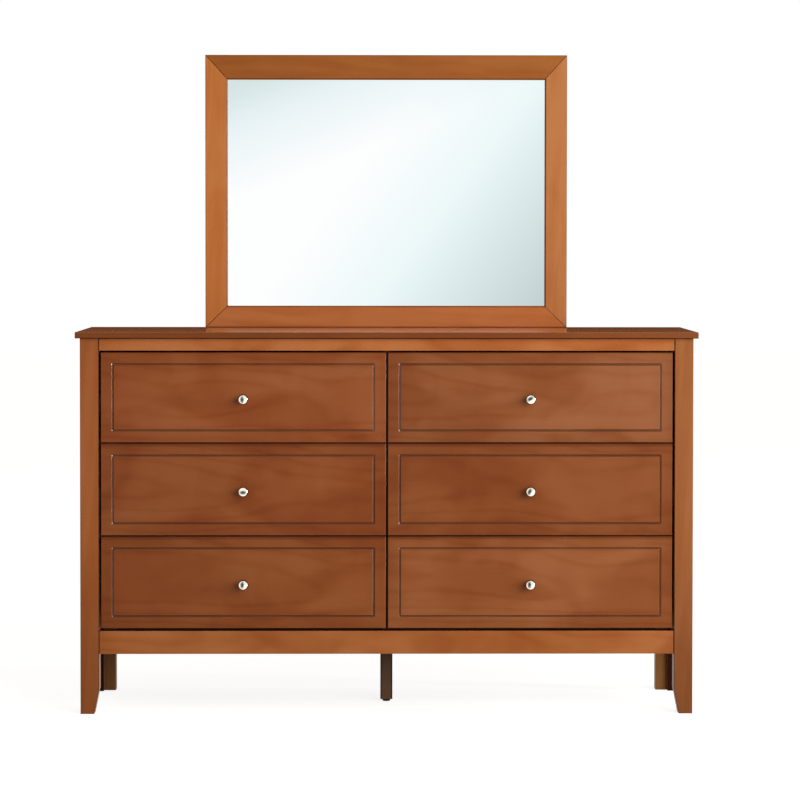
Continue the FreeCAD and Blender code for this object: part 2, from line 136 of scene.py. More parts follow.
def seen_ray(tree):
    """1 for a ray of the camera or one that gloss or glass sends on, and 0 for other light.

    The second value leaves the camera's own rays out."""
    ray = add(tree, "ShaderNodeLightPath")
    mirrored = add(tree, "ShaderNodeMath", {0: ray.outputs["Is Glossy Ray"],
                                            1: ray.outputs["Is Transmission Ray"]}, operation="MAXIMUM")
    seen = add(tree, "ShaderNodeMath", {0: ray.outputs["Is Camera Ray"], 1: mirrored}, operation="MAXIMUM")
    return seen, mirrored


world = bpy.data.worlds.new("studio_surround")
world.use_nodes = True
tree = world.node_tree
tree.nodes.clear()
seen, mirrored = seen_ray(tree)
toward = add(tree, "ShaderNodeTexCoord")
far_wall = linear(WHITE)
for slant, tones in FAR_WALL_SHADES:
    along = add(tree, "ShaderNodeVectorMath", {0: toward.outputs["Generated"], 1: slant},
                operation="DOT_PRODUCT")
    across = add(tree, "ShaderNodeMapRange", {"Value": along.outputs["Value"], "From Min": -FAR_WALL_SPAN,
                                              "From Max": FAR_WALL_SPAN})
    shade = add(tree, "ShaderNodeValToRGB", {"Fac": across})
    set_stops(shade, [(stop, linear(code)) for stop, code in tones])
    far_wall = add(tree, "ShaderNodeMix", {0: 1.0, 6: far_wall, 7: shade}, data_type="RGBA",
                   blend_type="MULTIPLY").outputs[2]
behind = add(tree, "ShaderNodeVectorMath", {0: toward.outputs["Generated"], 1: (0, -1, 0)},
             operation="DOT_PRODUCT")
on_wall = add(tree, "ShaderNodeMapRange", {"Value": behind.outputs["Value"], "From Min": FAR_WALL_REACH[0],
                                           "From Max": FAR_WALL_REACH[1]})
shown = add(tree, "ShaderNodeMath", {0: mirrored, 1: on_wall}, operation="MULTIPLY")
tint = add(tree, "ShaderNodeMix", {0: shown, 6: linear(WHITE), 7: far_wall}, data_type="RGBA")
strength = add(tree, "ShaderNodeMapRange", {"Value": seen, "To Min": FILL_STRENGTH, "To Max": 1.0})
surround = add(tree, "ShaderNodeBackground", {"Color": tint.outputs[2], "Strength": strength})
add(tree, "ShaderNodeOutputWorld", {"Surface": surround})
bpy.context.scene.world = world
bpy.context.scene.view_settings.view_transform = "Standard"

floor_mesh = bpy.data.meshes.new("floor")
floor_mesh.from_pydata([(-FLOOR_REACH, -FLOOR_REACH, 0), (FLOOR_REACH, -FLOOR_REACH, 0),
                        (FLOOR_REACH, FLOOR_REACH, 0), (-FLOOR_REACH, FLOOR_REACH, 0)],
                       [], [(0, 1, 2, 3)])
floor_paint, tree = new_material("matt_white_floor_paint")
lift = add(tree, "ShaderNodeMath", {0: seen_ray(tree)[0], 1: FLOOR_LIFT}, operation="MULTIPLY")
matt = add(tree, "ShaderNodeBsdfDiffuse", {"Color": linear(FLOOR_COLOUR)})
glow = add(tree, "ShaderNodeEmission", {"Strength": lift})
painted = add(tree, "ShaderNodeAddShader", {0: matt, 1: glow})
add(tree, "ShaderNodeOutputMaterial", {"Surface": painted})
floor_mesh.materials.append(floor_paint)
put("floor", floor_mesh)

for name, place, aim, (width, height), power, in_gloss in SOFTBOXES:
    lamp = bpy.data.lights.new(name, "AREA")
    lamp.shape = "RECTANGLE"
    lamp.size = width
    lamp.size_y = height
    lamp.energy = power
    softbox = put(name, lamp)
    softbox.visible_glossy = in_gloss
    softbox.location = place
    softbox.rotation_euler = (Vector(aim) - Vector(place)).to_track_quat("-Z", "Y").to_euler()

# A brown cloth flag hangs behind the dresser, as photographers set one for a polished top. It glows by
# itself, though it is no lamp, and its lower edge is painted darker as shade. Only gloss meets it: the
# top shows it instead of the white room, and the eye sees past it.
FLAG_GLOW_TONES = ((0.0, "#1c0b04"), (1.0, "#7c4627"))
# Below the first height the colour is painted shade, and above the second the cloth glows at full tone.
FLAG_PAINTED_SHADE = (0.944, 0.968)        # heights of its dark hem and of its lit cloth
FLAG_WIDE = 3.0
FLAG_AWAY = 1.0
FLAG_LOW = 0.6
FLAG_HIGH = 1.5

flag_mesh = bpy.data.meshes.new("flag")
flag_mesh.from_pydata([(-FLAG_WIDE, FLAG_AWAY, FLAG_LOW), (FLAG_WIDE, FLAG_AWAY, FLAG_LOW),
                       (FLAG_WIDE, FLAG_AWAY, FLAG_HIGH), (-FLAG_WIDE, FLAG_AWAY, FLAG_HIGH)],
                      [], [(0, 1, 2, 3)])
flag_cloth, tree = new_material("glowing_brown_flag_cloth")
place = add(tree, "ShaderNodeTexCoord").outputs["Object"]
height = add(tree, "ShaderNodeSeparateXYZ", {"Vector": place}).outputs["Z"]
above_painted_shade = add(tree, "ShaderNodeMapRange", {"Value": height, "From Min": FLAG_PAINTED_SHADE[0],
                                             "From Max": FLAG_PAINTED_SHADE[1]})
cloth = add(tree, "ShaderNodeValToRGB", {"Fac": above_painted_shade})
set_stops(cloth, [(stop, linear(code)) for stop, code in FLAG_GLOW_TONES])
cloth_glow = add(tree, "ShaderNodeEmission", {"Color": cloth})
add(tree, "ShaderNodeOutputMaterial", {"Surface": cloth_glow})
flag_mesh.materials.append(flag_cloth)
flag = put("flag", flag_mesh)
flag.visible_camera = False
flag.visible_diffuse = False
flag.visible_transmission = False
flag.visible_shadow = False

# The camera stands about seven metres away, a little above the top and left of the middle,
# and looks slightly down and to the right. A vertical shift keeps the uprights parallel.
CAMERA_PLACE = (-0.0404, -6.878, 1.1484)
CAMERA_DOWN = 0.02579
CAMERA_RIGHT = 0.01068
CAMERA_ROLL = 0.0008
CAMERA_LENS = 125.09
SENSOR = 36.0
SHIFT_UP = -0.1125

camera_data = bpy.data.cameras.new("camera")
camera_data.lens = CAMERA_LENS
camera_data.sensor_width = SENSOR
camera_data.shift_y = SHIFT_UP
camera = put("camera", camera_data)
camera.location = CAMERA_PLACE
camera.rotation_euler = (math.pi / 2 - CAMERA_DOWN, -CAMERA_ROLL, -CAMERA_RIGHT)
bpy.context.scene.camera = camera

# Four uprights carry the case: square front posts that taper at the foot, and angled back legs.
# They are solid birch, stained red-brown and lacquered, with the grain upright. The posts' inner front
# edges and the foremost edges of the legs are painted dark as the shade between the parts, and all four
# uprights are painted darker towards the foot as shade.
MM = 0.001
ALONG_X = (0.0, 0.0, 0.0)
ALONG_Y = (0.0, 0.0, math.pi / 2)
ALONG_Z = (0.0, -math.pi / 2, 0.0)
SATIN = (0.32, 0.46, 0.15)     # lowest and highest roughness, and the level of gloss
POST_STAINS = {"left_front_post": "#9f592b", "right_front_post": "#96582e",
               "left_back_leg": "#936336", "right_back_leg": "#a06a37"}
POST_PITH = 60 * MM
POST_EASING = 0.6 * MM
POOLED_STAIN_AND_SHADE = "#280d04"
POOLED_BOARD = 40
DRIED = (0.5, 0.6, 0.06)
LEG_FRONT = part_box("left_back_leg")[0].y
CALM = 0.5
# Painted shade: the uprights are darker towards the foot, where less light falls.
FOOT_PAINTED_SHADE = (Vector((-2, -2, 0)), Vector((2, 2, 4)), 0.5, (0.7, 0.68, 0.66, 1.0))   # lowest half metre


def stained_birch(name, stain, pith, turn, board, gloss=SATIN, toned_or_shaded=(), figure=1.0, haze=0.0):
    """Birch under stain and lacquer: soft-edged clouds, faint wavy rings, fine streaks along the grain.

    The log's pith runs through the point pith, turned from X by turn and tilted a little, so that
    a flat-sawn face shows long arches. Each board number gives another stretch of the log.
    Each entry of toned_or_shaded has two corners of a space, a width and a tint: within that width of
    the space's edges, in X and Z, the stain is darker by the tint, as a toner or as painted shade. Figure
    tells how strongly clouds and rings show, and haze is the share of a softer gloss over the lacquer."""
    ring_width = 24 * MM       # real rings are near 3 mm: drawn wider, so that they show
    ring_stretch = 0.4
    fibre_across = 2.5 * MM    # real fibres are finer than a pixel: drawn as coarse as a streak
    fibre_along = 160 * MM
    cloud_across = 130 * MM * figure ** 2
    cloud_along = 240 * MM / figure
    cloud_edge = (0.35, 0.65)
    curl_across = 180 * MM
    curl_along = 90 * MM
    soft_edge = (0.0, 1.0)
    pith_tilt = 0.05
    log_step = 3.7             # metres of log from one board to the next
    cloud_share = 0.5 * figure
    curl_share = 0.3 * figure
    fibre_share = 0.16
    ring_share = 0.2 * figure
    late_wood_narrow = 4.0
    late_wood_mean = 0.27
    deep = (0.78, 0.64, 0.44)
    pale = (1.2, 1.39, 1.74)
    grain_depth = 0.2 * MM
    grain_relief = 0.4 * gloss[0]
    haze_rough = 0.25

    material, tree = new_material(name)
    place = add(tree, "ShaderNodeTexCoord").outputs["Object"]
    log = add(tree, "ShaderNodeMapping", {"Vector": place, "Location": pith,
                                          "Rotation": (turn[0], turn[1] + pith_tilt, turn[2] + pith_tilt)},
              vector_type="TEXTURE")
    slide = (log_step * board, 0.0, 0.0)
    tone = 0.5 - (cloud_share + curl_share + fibre_share) / 2 + late_wood_mean * ring_share
    for share, along, across, edge in ((cloud_share, cloud_along, cloud_across, cloud_edge),
                                       (curl_share, curl_along, curl_across, soft_edge),
                                       (fibre_share, fibre_along, fibre_across, soft_edge)):
        where = add(tree, "ShaderNodeMapping", {"Vector": log, "Location": slide,
                                                "Scale": (1 / along, 1 / across, 1 / across)})
        noise = add(tree, "ShaderNodeTexNoise", {"Vector": where, "Scale": 1.0, "Detail": 2.0,
                                                 "Distortion": 0.7})
        drawn = add(tree, "ShaderNodeMapRange", {"Value": noise, "From Min": edge[0], "From Max": edge[1]},
                    interpolation_type="SMOOTHSTEP")
        tone = add(tree, "ShaderNodeMath", {0: drawn, 1: share, 2: tone}, operation="MULTIPLY_ADD")
    ring_place = add(tree, "ShaderNodeMapping", {"Vector": log, "Location": slide,
                                                 "Scale": (ring_stretch, 1, 1)})
    ring_scale = math.tau / 20 / ring_width    # a wave's length is tau / 20 over its scale
    rings = add(tree, "ShaderNodeTexWave", {"Vector": ring_place, "Scale": ring_scale, "Distortion": 12.0,
                                            "Detail": 1.5, "Detail Scale": 0.5},
                wave_type="RINGS", rings_direction="X")
    late_wood = add(tree, "ShaderNodeMath", {0: rings.outputs["Fac"], 1: late_wood_narrow},
                    operation="POWER")
    tone = add(tree, "ShaderNodeMath", {0: late_wood, 1: -ring_share, 2: tone}, operation="MULTIPLY_ADD")
    body = linear(stain)
    stained = add(tree, "ShaderNodeValToRGB", {"Fac": tone})
    set_stops(stained, [(0.0, [c * d for c, d in zip(body, deep)] + [1.0]), (0.5, body),
                        (1.0, [c * p for c, p in zip(body, pale)] + [1.0])])
    colour = stained.outputs["Color"]
    # Each entry darkens the stain near a space's edges: a toner, or painted shade.
    for low, high, width, tint in toned_or_shaded:
        away = add(tree, "ShaderNodeVectorMath", {0: place, 1: (low + high) / 2}, operation="SUBTRACT")
        size = add(tree, "ShaderNodeVectorMath", {0: away}, operation="ABSOLUTE")
        inset = add(tree, "ShaderNodeVectorMath", {0: (high - low) / 2, 1: size}, operation="SUBTRACT")
        ways = add(tree, "ShaderNodeSeparateXYZ", {"Vector": inset})
        nearest = add(tree, "ShaderNodeMath", {0: ways.outputs["X"], 1: ways.outputs["Z"]},
                      operation="MINIMUM")
        cover = add(tree, "ShaderNodeMapRange", {"Value": nearest, "From Max": width, "To Min": 1.0,
                                                 "To Max": 0.0}, interpolation_type="SMOOTHSTEP")
        colour = add(tree, "ShaderNodeMix", {0: cover, 6: colour, 7: tint}, data_type="RGBA",
                     blend_type="MULTIPLY").outputs[2]
    rough = add(tree, "ShaderNodeMapRange", {"Value": noise, "To Min": gloss[0], "To Max": gloss[1]})
    relief = add(tree, "ShaderNodeBump", {"Height": noise, "Strength": grain_relief,
                                          "Distance": grain_depth})
    lacquer = add(tree, "ShaderNodeBsdfPrincipled", {"Base Color": colour, "Roughness": rough, "IOR": 1.5,
                                                     "Specular IOR Level": gloss[2], "Normal": relief,
                                                     "Coat Weight": haze, "Coat Roughness": haze_rough})
    add(tree, "ShaderNodeOutputMaterial", {"Surface": lacquer})
    return material


def dress(node, material, easing=0.8 * MM, accents=()):
    """A copy of a wooden CAD node with its triangles merged and its sharp edges eased by sanding.

    Each accent is a material and a test of a face, for the faces that it covers."""
    merged = 0.01 * MM
    flat = math.radians(1)
    sharp = math.radians(25)
    shape = bmesh.new()
    shape.from_mesh(nodes[node].data)
    bmesh.ops.remove_doubles(shape, verts=shape.verts, dist=merged)
    bmesh.ops.dissolve_limit(shape, angle_limit=flat, verts=shape.verts, edges=shape.edges)
    edges = [e for e in shape.edges if len(e.link_faces) == 2 and e.calc_face_angle() > sharp]
    bmesh.ops.bevel(shape, geom=edges, offset=easing, segments=2, profile=0.5, affect="EDGES",
                    clamp_overlap=True)
    shape.normal_update()
    for face in shape.faces:
        face.material_index = 0
        for number, (_, covers) in enumerate(accents, 1):
            if covers(face):
                face.material_index = number
    mesh = bpy.data.meshes.new(node + "_eased")
    shape.to_mesh(mesh)
    shape.free()
    for finish in [material] + [accent for accent, _ in accents]:
        mesh.materials.append(finish)
    piece = put(node + "_eased", mesh)
    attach(piece, body_of(nodes[node])[0])
    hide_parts(node)
    return piece


def pith_behind(node, behind):
    """A point on the pith of a board's log: level with the board's middle, and behind its front face."""
    low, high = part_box(node)
    middle = (low + high) / 2
    return (middle.x, low.y + behind, middle.z)


def on_inner_arris(face):
    """True for an upright's eased front edge that faces the middle of the dresser, painted dark as shade.
    """
    least, most = 0.3, 0.95    # shares of the normal that point inward
    inward = face.normal.x if face.calc_center_median().x < 0 else -face.normal.x
    return least < inward < most and face.normal.y < 0


def on_leg_front(face):
    """True for the foremost edge of an angled back leg, painted dark as the shade behind the post."""
    faces_front = face.normal.y < -0.9
    return faces_front and face.calc_center_median().y < LEG_FRONT + 1 * MM


# One dark stain serves for the real joints, and as painted shade in gaps and under edges.
joint_stain_and_shade = stained_birch("joint_stain_and_painted_shade", POOLED_STAIN_AND_SHADE, (0, 0, 0), ALONG_X, POOLED_BOARD, DRIED)
for board, (node, stain) in enumerate(POST_STAINS.items()):
    wood = stained_birch("stained_birch_" + node, stain, pith_behind(node, POST_PITH), ALONG_Z, board,
                         SATIN, [FOOT_PAINTED_SHADE], CALM)
    # The inner front edges and the legs' foremost edges take the dark stain as painted shade.
    dark = on_leg_front if node.endswith("leg") else on_inner_arris
    dress(node, wood, POST_EASING, [(joint_stain_and_shade, dark)])

# The side panels fill the sides between the uprights, set in from their faces.
# They are veneered board, with the grain upright and the same stain and lacquer.
PANEL_STAIN = "#9c5a27"
PANEL_BOARDS = 4
PANEL_PITH = 150 * MM
PANEL_FIGURE = 0.7
for board, node in enumerate(("left_side_panel", "right_side_panel"), PANEL_BOARDS):
    wood = stained_birch("stained_birch_" + node, PANEL_STAIN, pith_behind(node, PANEL_PITH), ALONG_Z,
                         board, figure=PANEL_FIGURE)
    dress(node, wood)

# The two front rails join the posts above and below the drawers.
# They are solid birch, planed, with the grain along them; their ends are dark with stain in the joints.
# Their upper sides are painted dark as the shade in the gaps, and the lower rail's stain is a little
# darker as painted shade low down.
# The lower rail's stain is a little darker, partly as painted shade low down.
RAIL_STAINS_AND_SHADE = {"top_front_rail": "#ab6130", "bottom_front_rail": "#a05c2d"}
RAIL_BOARDS = 6
RAIL_PITH = 70 * MM
RAIL_EASING = 1.2 * MM


def in_rail_joint_or_gap(face):
    """True for a rail's ends, in the joints, and its upper side, painted dark as the shade of the gap
    above.
    """
    turned_away = 0.3
    return abs(face.normal.x) > turned_away or face.normal.z > turned_away


# The rails' upper sides take the dark stain as painted shade in the gaps.
for board, (node, stain) in enumerate(RAIL_STAINS_AND_SHADE.items(), RAIL_BOARDS):
    wood = stained_birch("stained_birch_" + node, stain, pith_behind(node, RAIL_PITH), ALONG_X, board)
    dress(node, wood, RAIL_EASING, [(joint_stain_and_shade, in_rail_joint_or_gap)])

# The hidden frame: divider rails, the centre partition, the back rails, and the short centre leg.
# They are plain birch with a thin stain and no lacquer, so they look dull. What shows in the gaps
# between the drawers is redder, and the centre leg is painted darker along its sides and top as shade.
FRAME_STAIN = "#4d3524"
GAP_STAIN = "#6a2a0e"
LEG_STAIN = "#5e4430"
FRAME_MEMBERS = {"divider_rails": (GAP_STAIN, ALONG_X), "back_rails": (FRAME_STAIN, ALONG_X),
                 "centre_partition": (GAP_STAIN, ALONG_Z), "centre_leg": (LEG_STAIN, ALONG_Z)}
FRAME_BOARDS = 8
FRAME_PITH = 80 * MM
# Painted shade: the centre leg darkens within this width of its sides and top.
LEG_EDGE_SHADE = (6 * MM, (0.25, 0.18, 0.14, 1.0))
BELOW_FLOOR = Vector((0, 0, -1))
DULL = (0.55, 0.7, 0.1)
for board, (node, (stain, turn)) in enumerate(FRAME_MEMBERS.items(), FRAME_BOARDS):
    low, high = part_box(node)
    painted_edge_shade = [(low + BELOW_FLOOR, high, *LEG_EDGE_SHADE)] if node == "centre_leg" else []
    wood = stained_birch("brown_stained_birch_" + node, stain, pith_behind(node, FRAME_PITH), turn,
                         board, DULL, painted_edge_shade)
    dress(node, wood)

# The back is one sheet of hardboard, let in between the back legs and nailed to the back rails.
# Hardboard is felted brown fibre, pressed smooth: an even brown with fine darker specks. The nails
# are zinc-plated, with flat heads that stand a little proud.
HARDBOARD_TONES = ((0.3, "#5c4330"), (0.5, "#7b5c42"), (0.7, "#8d6c50"))
NAIL_INSET = 12 * MM
NAIL_HEAD = 2.2 * MM
NAIL_FLAT = 0.75 * NAIL_HEAD
NAIL_PROUD = 0.5 * MM
NAILS_ALONG = 13
ZINC_COLOUR = "#a9acad"


def hardboard(name):
    """Pressed brown fibre: fine felted specks, a slow change of tone, and a dull sheen."""
    speck = 3.0 * MM           # real fibre bundles are near 0.5 mm: drawn coarser, so that they show
    cloud = 160 * MM
    cloud_share = 0.4
    felt_depth = 0.2 * MM
    material, tree = new_material(name)
    place = add(tree, "ShaderNodeTexCoord").outputs["Object"]
    felt = add(tree, "ShaderNodeTexNoise", {"Vector": place, "Scale": 1 / speck, "Detail": 4.0})
    slow = add(tree, "ShaderNodeTexNoise", {"Vector": place, "Scale": 1 / cloud, "Detail": 1.0})
    tone = add(tree, "ShaderNodeMix", {0: cloud_share, 2: felt, 3: slow})
    colour = add(tree, "ShaderNodeValToRGB", {"Fac": tone})
    set_stops(colour, [(stop, linear(code)) for stop, code in HARDBOARD_TONES])
    relief = add(tree, "ShaderNodeBump", {"Height": felt, "Strength": 0.2, "Distance": felt_depth})
    board = add(tree, "ShaderNodeBsdfPrincipled", {"Base Color": colour, "Roughness": 0.58, "IOR": 1.5,
                                                   "Specular IOR Level": 0.3, "Normal": relief})
    add(tree, "ShaderNodeOutputMaterial", {"Surface": board})
    return material


def zinc_steel(name):
    """Zinc-plated steel: light blue-grey metal with a soft cloudy bloom in its gloss."""
    bloom = 9 * MM
    material, tree = new_material(name)
    place = add(tree, "ShaderNodeTexCoord").outputs["Object"]
    cloudy = add(tree, "ShaderNodeTexNoise", {"Vector": place, "Scale": 1 / bloom, "Detail": 3.0})
    rough = add(tree, "ShaderNodeMapRange", {"Value": cloudy, "To Min": 0.28, "To Max": 0.5})
    plate = add(tree, "ShaderNodeBsdfPrincipled", {"Base Color": linear(ZINC_COLOUR), "Metallic": 1.0,
                                                   "Roughness": rough})
    add(tree, "ShaderNodeOutputMaterial", {"Surface": plate})
    return material


def paint(node, material):
    """Gives a CAD node that keeps its shape a new material."""
    for slot in nodes[node].material_slots:
        slot.material = material


def new_tree(name, inputs):
    """A geometry tree with a mesh in and out and the named inputs, each with its socket type."""
    tree = bpy.data.node_groups.new(name, "GeometryNodeTree")
    tree.interface.new_socket("Points", in_out="INPUT", socket_type="NodeSocketGeometry")
    for label, kind in inputs.items():
        tree.interface.new_socket(label, in_out="INPUT", socket_type=kind)
    tree.interface.new_socket("Pieces", in_out="OUTPUT", socket_type="NodeSocketGeometry")
    return tree, add(tree, "NodeGroupInput"), add(tree, "NodeGroupOutput")


def grow(name, tree, values, body, points=(), facings=()):
    """Runs a geometry tree on a cloud of points and keeps its result as one plain mesh on a body."""
    cloud = bpy.data.meshes.new(name + "_points")
    cloud.from_pydata(points, [], [])
    if facings:
        facing = cloud.attributes.new("facing", "FLOAT_VECTOR", "POINT")
        facing.data.foreach_set("vector", [c for direction in facings for c in direction])
    piece = put(name, cloud)
    modifier = piece.modifiers.new(name, "NODES")
    modifier.node_group = tree
    for item in tree.interface.items_tree:
        if item.name in values:
            modifier[item.identifier] = values[item.name]
    finished = piece.evaluated_get(bpy.context.evaluated_depsgraph_get())
    piece.data = bpy.data.meshes.new_from_object(finished)
    piece.modifiers.clear()
    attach(piece, body)
    return piece


FLOAT = "NodeSocketFloat"
nail_grid, given, made = new_tree("rows_of_nails", {
    "Row Length": FLOAT, "Row Spacing": FLOAT, "Nails": "NodeSocketInt", "Head Radius": FLOAT,
    "Flat Radius": FLOAT, "Head Height": FLOAT, "Place": "NodeSocketVector",
    "Material": "NodeSocketMaterial"})
grid = add(nail_grid, "GeometryNodeMeshGrid", {"Size X": given.outputs["Row Length"],
                                               "Size Y": given.outputs["Row Spacing"],
                                               "Vertices X": given.outputs["Nails"], "Vertices Y": 2})
head = add(nail_grid, "GeometryNodeMeshCone", {"Vertices": 16, "Radius Top": given.outputs["Flat Radius"],
                                               "Radius Bottom": given.outputs["Head Radius"],
                                               "Depth": given.outputs["Head Height"]})
nails = add(nail_grid, "GeometryNodeInstanceOnPoints", {"Points": grid, "Instance": head.outputs["Mesh"]})
loose = add(nail_grid, "GeometryNodeRealizeInstances", {"Geometry": nails})
driven = add(nail_grid, "GeometryNodeTransform", {"Geometry": loose, "Translation": given.outputs["Place"],
                                                  "Rotation": (-math.pi / 2, 0, 0)})
plated = add(nail_grid, "GeometryNodeSetMaterial", {"Geometry": driven,
                                                    "Material": given.outputs["Material"]})
nail_grid.links.new(plated.outputs[0], made.inputs["Pieces"])

zinc = zinc_steel("zinc_plated_steel")
paint("back_panel", hardboard("pressed_hardboard_back"))
low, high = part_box("back_panel")
grow("back_nails", nail_grid, {
    "Row Length": high.x - low.x - 2 * NAIL_INSET, "Row Spacing": high.z - low.z - 2 * NAIL_INSET,
    "Nails": NAILS_ALONG, "Head Radius": NAIL_HEAD, "Flat Radius": NAIL_FLAT, "Head Height": NAIL_PROUD,
    "Place": (0, high.y, (low.z + high.z) / 2), "Material": zinc}, "case")

# The top is one wide board that overhangs the case, with a small round on its edges.
# It is birch veneer with solid lippings, stained darker, and its lacquer is rubbed smoother.
# Their lower arris is painted dark as the shadow under the overhang.
TOP_STAIN = "#8a4c24"
LIPPING_STAIN = "#793f1a"
TOP_BOARD = 12
TOP_PITH = 200 * MM
RUBBED = (0.07, 0.11, 0.5)
RUBBED_HAZE = 0.45
TOP_EASING = 1.2 * MM


def on_lipping(face):
    """True for the edges all round."""
    level = 0.6
    return abs(face.normal.z) < level


def on_shaded_lower_arris(face):
    """True for the eased lower edge, painted dark as the shadow under the overhang."""
    least, most = 0.2, 0.95    # shares of the normal that point down
    return least < -face.normal.z < most


pith = pith_behind("top_panel", TOP_PITH)
veneer = stained_birch("stained_birch_top_panel", TOP_STAIN, pith, ALONG_X, TOP_BOARD, RUBBED,
                       haze=RUBBED_HAZE)
lipping = stained_birch("stained_birch_lipping", LIPPING_STAIN, pith, ALONG_X, TOP_BOARD, figure=CALM)
# The lower arris takes the dark stain as the painted shadow under the overhang.
dress("top_panel", veneer, TOP_EASING, [(lipping, on_lipping), (joint_stain_and_shade, on_shaded_lower_arris)])

# A short leg under the middle ends in a screw-in levelling glide of black nylon.
# It is moulded round: a flat foot with small chamfers, and a stem that goes up into the leg.
GLIDE_COLOUR = "#080706"
GLIDE_STEM = 4 * MM
GLIDE_CHAMFER = 1.2 * MM
MOULD_GRAIN = 1.2 * MM
TURNED_STEPS = 48


def lathe(name, profile, place, axis):
    """Turns an outline of (radius, height) points round an axis that starts at a place."""
    merged = 0.005 * MM
    crease = math.radians(40)
    shape = bmesh.new()
    points = [shape.verts.new((radius, 0, height)) for radius, height in profile]
    edges = [shape.edges.new(pair) for pair in zip(points, points[1:])]
    bmesh.ops.spin(shape, geom=points + edges, axis=(0, 0, 1), cent=(0, 0, 0), angle=math.tau,
                   steps=TURNED_STEPS, use_merge=True)
    bmesh.ops.remove_doubles(shape, verts=shape.verts, dist=merged)
    bmesh.ops.recalc_face_normals(shape, faces=shape.faces)
    shape.transform(Vector(axis).to_track_quat("Z", "Y").to_matrix().to_4x4())
    bmesh.ops.translate(shape, verts=shape.verts, vec=place)
    mesh = bpy.data.meshes.new(name)
    shape.to_mesh(mesh)
    shape.free()
    mesh.shade_smooth()
    mesh.set_sharp_from_angle(angle=crease)
    return mesh


# Moulded nylon looks nearly black, with a fine dull grain from its mould
nylon, tree = new_material("black_nylon")
place = add(tree, "ShaderNodeTexCoord").outputs["Object"]
grain = add(tree, "ShaderNodeTexNoise", {"Vector": place, "Scale": 1 / MOULD_GRAIN, "Detail": 2.0})
dull = add(tree, "ShaderNodeMapRange", {"Value": grain, "To Min": 0.42, "To Max": 0.6})
moulded = add(tree, "ShaderNodeBsdfPrincipled", {"Base Color": linear(GLIDE_COLOUR), "Roughness": dull,
                                                 "IOR": 1.53, "Specular IOR Level": 0.2})
add(tree, "ShaderNodeOutputMaterial", {"Surface": moulded})
low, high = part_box("levelling_glide")
foot_radius = (high.x - low.x) / 2
foot_flat = foot_radius - GLIDE_CHAMFER
foot_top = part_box("centre_leg")[0].z - low.z
stem_top = high.z - low.z
glide = put("levelling_glide_turned", lathe("levelling_glide_turned", [
    (0, 0), (foot_flat, 0), (foot_radius, GLIDE_CHAMFER), (foot_radius, foot_top - GLIDE_CHAMFER),
    (foot_flat, foot_top), (GLIDE_STEM, foot_top), (GLIDE_STEM, stem_top - GLIDE_CHAMFER),
    (GLIDE_STEM - GLIDE_CHAMFER, stem_top), (0, stem_top)],
    ((low.x + high.x) / 2, (low.y + high.y) / 2, low.z), (0, 0, 1)))
glide.data.materials.append(nylon)
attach(glide, "glide")
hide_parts("levelling_glide")

# Each drawer runs on steel channels: one on each side of its box, in one on the case.
# They are folded from steel strip under black stoved enamel, with three zinc pan-head screws each.
ROWS = ("top", "middle", "bottom")
SIDES = ("left", "right")
DRAWERS = [row + "_" + side + "_drawer" for row in ROWS for side in SIDES]
SCREW_HEAD = 3.6 * MM
SCREW_FLAT = 0.68 * SCREW_HEAD
SCREW_PROUD = 2.0 * MM
SLOT_LONG = 1.1 * SCREW_HEAD
SLOT_WIDE = 0.28 * SCREW_HEAD
SLOT_DEEP = 0.9 * SCREW_PROUD
RUNNER_METAL = 1.2 * MM
SCREWS_ALONG = (0.12, 0.5, 0.88)
ENAMEL_COLOUR = "#14120f"
ENAMEL_PEEL = 2 * MM

screw_heads, given, made = new_tree("cross_head_screws", {
    "Head Radius": FLOAT, "Flat Radius": FLOAT, "Head Height": FLOAT, "Slot Across": "NodeSocketVector",
    "Slot Up": "NodeSocketVector", "Slot Place": "NodeSocketVector", "Material": "NodeSocketMaterial"})
pan = add(screw_heads, "GeometryNodeMeshCone", {"Vertices": 24, "Radius Top": given.outputs["Flat Radius"],
                                                "Radius Bottom": given.outputs["Head Radius"],
                                                "Depth": given.outputs["Head Height"]})
slots = [add(screw_heads, "GeometryNodeMeshCube", {"Size": given.outputs[size]})
         for size in ("Slot Across", "Slot Up")]
cross = add(screw_heads, "GeometryNodeMeshBoolean", {"Mesh 2": slots[0].outputs["Mesh"]}, operation="UNION")
screw_heads.links.new(slots[1].outputs["Mesh"], cross.inputs["Mesh 2"])
raised = add(screw_heads, "GeometryNodeTransform", {"Geometry": cross,
                                                    "Translation": given.outputs["Slot Place"]})
slotted = add(screw_heads, "GeometryNodeMeshBoolean", {"Mesh 1": pan.outputs["Mesh"], "Mesh 2": raised},
              operation="DIFFERENCE")
facing = add(screw_heads, "GeometryNodeInputNamedAttribute", {"Name": "facing"}, data_type="FLOAT_VECTOR")
upright = add(screw_heads, "FunctionNodeAlignRotationToVector", {"Vector": facing}, axis="Z")
screws = add(screw_heads, "GeometryNodeInstanceOnPoints", {"Points": given.outputs["Points"],
                                                           "Instance": slotted, "Rotation": upright})
loose = add(screw_heads, "GeometryNodeRealizeInstances", {"Geometry": screws})
plated = add(screw_heads, "GeometryNodeSetMaterial", {"Geometry": loose,
                                                      "Material": given.outputs["Material"]})
screw_heads.links.new(plated.outputs[0], made.inputs["Pieces"])

SCREW_VALUES = {"Head Radius": SCREW_HEAD, "Flat Radius": SCREW_FLAT, "Head Height": SCREW_PROUD,
                "Slot Across": (SLOT_LONG, SLOT_WIDE, SLOT_DEEP),
                "Slot Up": (SLOT_WIDE, SLOT_LONG, SLOT_DEEP), "Slot Place": (0.0, 0.0, SCREW_PROUD),
                "Material": zinc}

